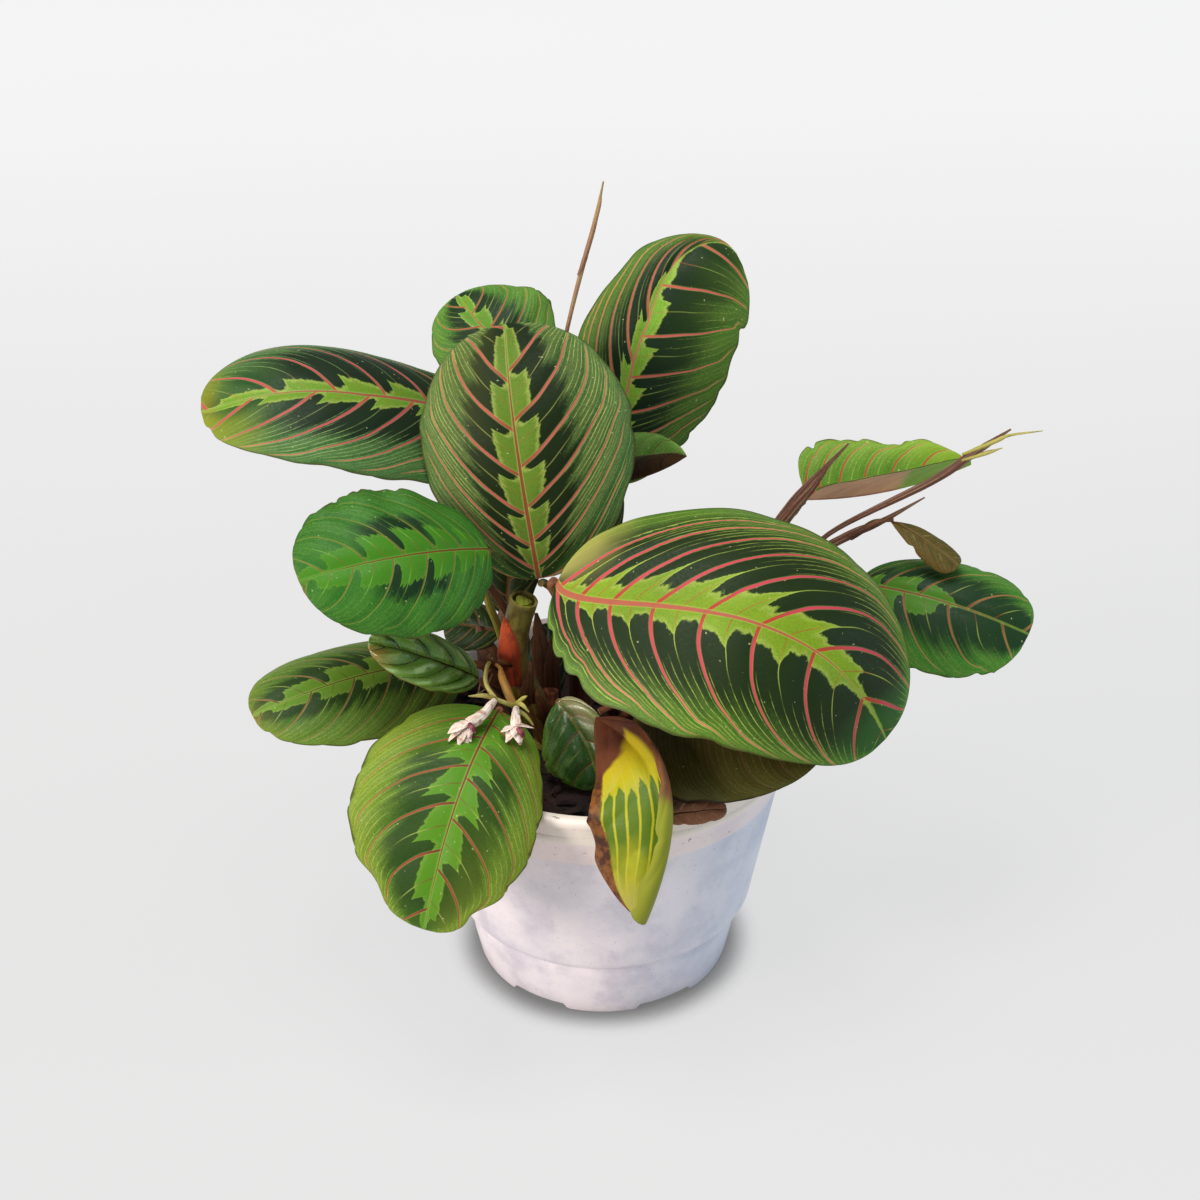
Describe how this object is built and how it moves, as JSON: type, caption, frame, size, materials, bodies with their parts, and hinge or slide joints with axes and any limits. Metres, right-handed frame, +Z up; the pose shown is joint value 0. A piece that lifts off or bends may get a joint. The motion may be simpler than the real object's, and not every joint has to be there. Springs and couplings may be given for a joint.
{
  "type": "potted prayer plant",
  "caption": "Prayer plant with broad veined leaves on thin stalks, growing in bark in a round tapered white plastic nursery pot.",
  "frame": {"origin": "centre of the pot's flat underside, on the surface it stands on", "axes": "+Z up along the pot's axis, -Y towards the viewer's side, +X to the viewer's right along the widest spread of leaves"},
  "size_m": [0.2757, 0.1943, 0.2662],
  "materials": {
    "pot_plastic": "satin, slightly smudged",
    "soil_bark": "loose dark potting bark",
    "leaf_green": "satin, dark green with lighter bands and pink veins",
    "leaf_dying_yellow": "satin, yellow with brown edges",
    "leaf_young_glossy": "glossy green with dark veins",
    "leaf_withered_brown": "dry brown",
    "stalk_sheath_tan": "dry tan sheaths over green stem",
    "stalk_purple_brown": "satin purple-brown",
    "stalk_brown_green": "satin brown and olive green",
    "stalk_yellow_green": "satin yellow-green",
    "flower_stalk_pale": "thin pale yellow stalk with brown bract",
    "flower_petal": "thin withered white petals"
  },
  "bodies": {
    "root": {"pot": "pot_plastic", "soil": "soil_bark", "stalk_main": "stalk_sheath_tan", "stalk_back": "stalk_brown_green", "stalk_right": "stalk_purple_brown", "stalk_front_right": "stalk_brown_green", "stalk_left": "stalk_yellow_green", "stalk_front_left": "stalk_brown_green", "stalk_small": "stalk_brown_green", "leaf_big_right": "leaf_green", "leaf_upright": "leaf_green", "leaf_top_right": "leaf_green", "leaf_far_left": "leaf_green", "leaf_mid_left": "leaf_green", "leaf_low_left": "leaf_green", "leaf_behind_top": "leaf_green", "leaf_front_left": "leaf_green", "leaf_shadow_right": "leaf_green", "leaf_right": "leaf_green", "leaf_yellow": "leaf_dying_yellow", "leaf_folded_right": "leaf_green", "leaf_behind_right": "leaf_green", "leaf_behind_middle": "leaf_green", "leaf_young_glossy": "leaf_young_glossy", "leaf_small_front": "leaf_green", "leaf_withered_rim": "leaf_withered_brown", "leaf_withered_right": "leaf_withered_brown", "leaf_rolled_small": "leaf_green", "leaf_dark_behind_stalks": "leaf_green", "leaf_dark_low": "leaf_green", "leaf_dark_by_stalk": "leaf_green", "leaf_dark_narrow": "leaf_green", "flower_stalk": "flower_stalk_pale", "flower_left": "flower_petal", "flower_right": "flower_petal"}
  },
  "joints": []
}
